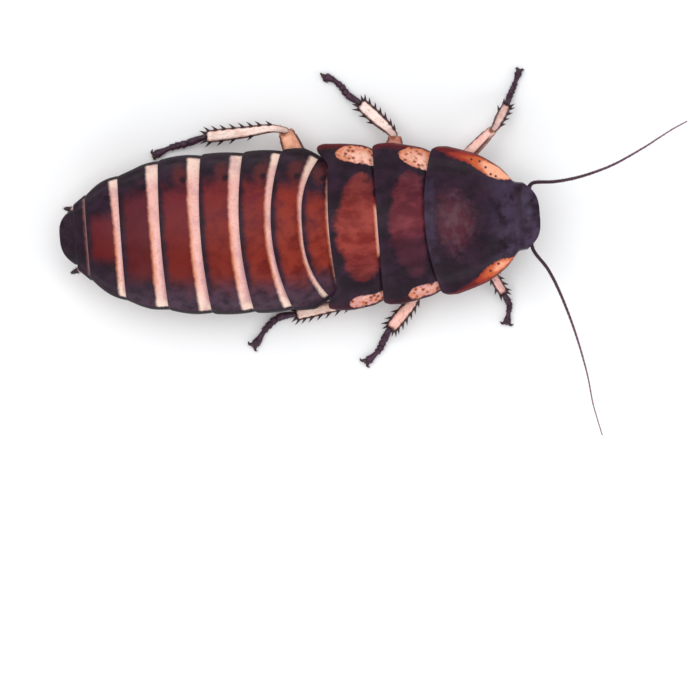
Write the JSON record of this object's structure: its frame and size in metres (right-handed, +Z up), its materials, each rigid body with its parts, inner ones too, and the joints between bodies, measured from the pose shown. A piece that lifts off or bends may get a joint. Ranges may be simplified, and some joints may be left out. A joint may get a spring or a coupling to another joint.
{
  "type": "madagascar hissing cockroach, young, life-size still model",
  "caption": "Life-size still model of a young madagascar hissing cockroach standing on its six feet, with pale-banded back plates, spiny legs and long feelers.",
  "frame": {"origin": "on the floor, below the middle of the box round the whole insect, feelers and feet included", "axes": "+X the way the head points, +Y the insect's left side, +Z up"},
  "size_m": [0.0424, 0.0256, 0.0068],
  "materials": {
    "dark_shell": "satin, near-black purple brown",
    "banded_shell": "satin red brown with dark sides and a pale band along the front of each plate",
    "belly_shell": "satin red brown, paler at the joints",
    "leg_shell": "satin tan to cream with brown joints and near-black spines",
    "foot_shell": "near-black purple brown with pale pads",
    "feeler": "dark purple brown, paler towards the tip",
    "eye": "glossy black, finely faceted"
  },
  "bodies": {
    "root": {"antenna_base_left": "feeler", "antenna_base_right": "feeler", "antenna_middle_left": "feeler", "antenna_middle_right": "feeler", "antenna_tip_left": "feeler", "antenna_tip_right": "feeler", "cercus_left": "dark_shell", "cercus_right": "dark_shell", "coxa_front_left": "leg_shell", "coxa_front_right": "leg_shell", "coxa_hind_left": "leg_shell", "coxa_hind_right": "leg_shell", "coxa_mid_left": "leg_shell", "coxa_mid_right": "leg_shell", "eye_left": "eye", "eye_right": "eye", "femur_front_left": "leg_shell", "femur_front_right": "leg_shell", "femur_hind_left": "leg_shell", "femur_hind_right": "leg_shell", "femur_mid_left": "leg_shell", "femur_mid_right": "leg_shell", "head": "dark_shell", "mesonotum": "banded_shell", "mesosternum": "belly_shell", "metanotum": "banded_shell", "metasternum": "belly_shell", "neck": "belly_shell", "pronotum": "dark_shell", "prosternum": "belly_shell", "sternite_1": "belly_shell", "sternite_2": "belly_shell", "sternite_3": "belly_shell", "sternite_4": "belly_shell", "sternite_5": "belly_shell", "sternite_6": "belly_shell", "sternite_7": "belly_shell", "supra_anal_plate": "dark_shell", "tarsus_front_left": "foot_shell", "tarsus_front_right": "foot_shell", "tarsus_hind_left": "foot_shell", "tarsus_hind_right": "foot_shell", "tarsus_mid_left": "foot_shell", "tarsus_mid_right": "foot_shell", "tergite_1": "banded_shell", "tergite_2": "banded_shell", "tergite_3": "banded_shell", "tergite_4": "banded_shell", "tergite_5": "banded_shell", "tergite_6": "banded_shell", "tergite_7": "banded_shell", "tergite_8": "banded_shell", "tibia_front_left": "leg_shell", "tibia_front_right": "leg_shell", "tibia_hind_left": "leg_shell", "tibia_hind_right": "leg_shell", "tibia_mid_left": "leg_shell", "tibia_mid_right": "leg_shell"}
  },
  "joints": []
}
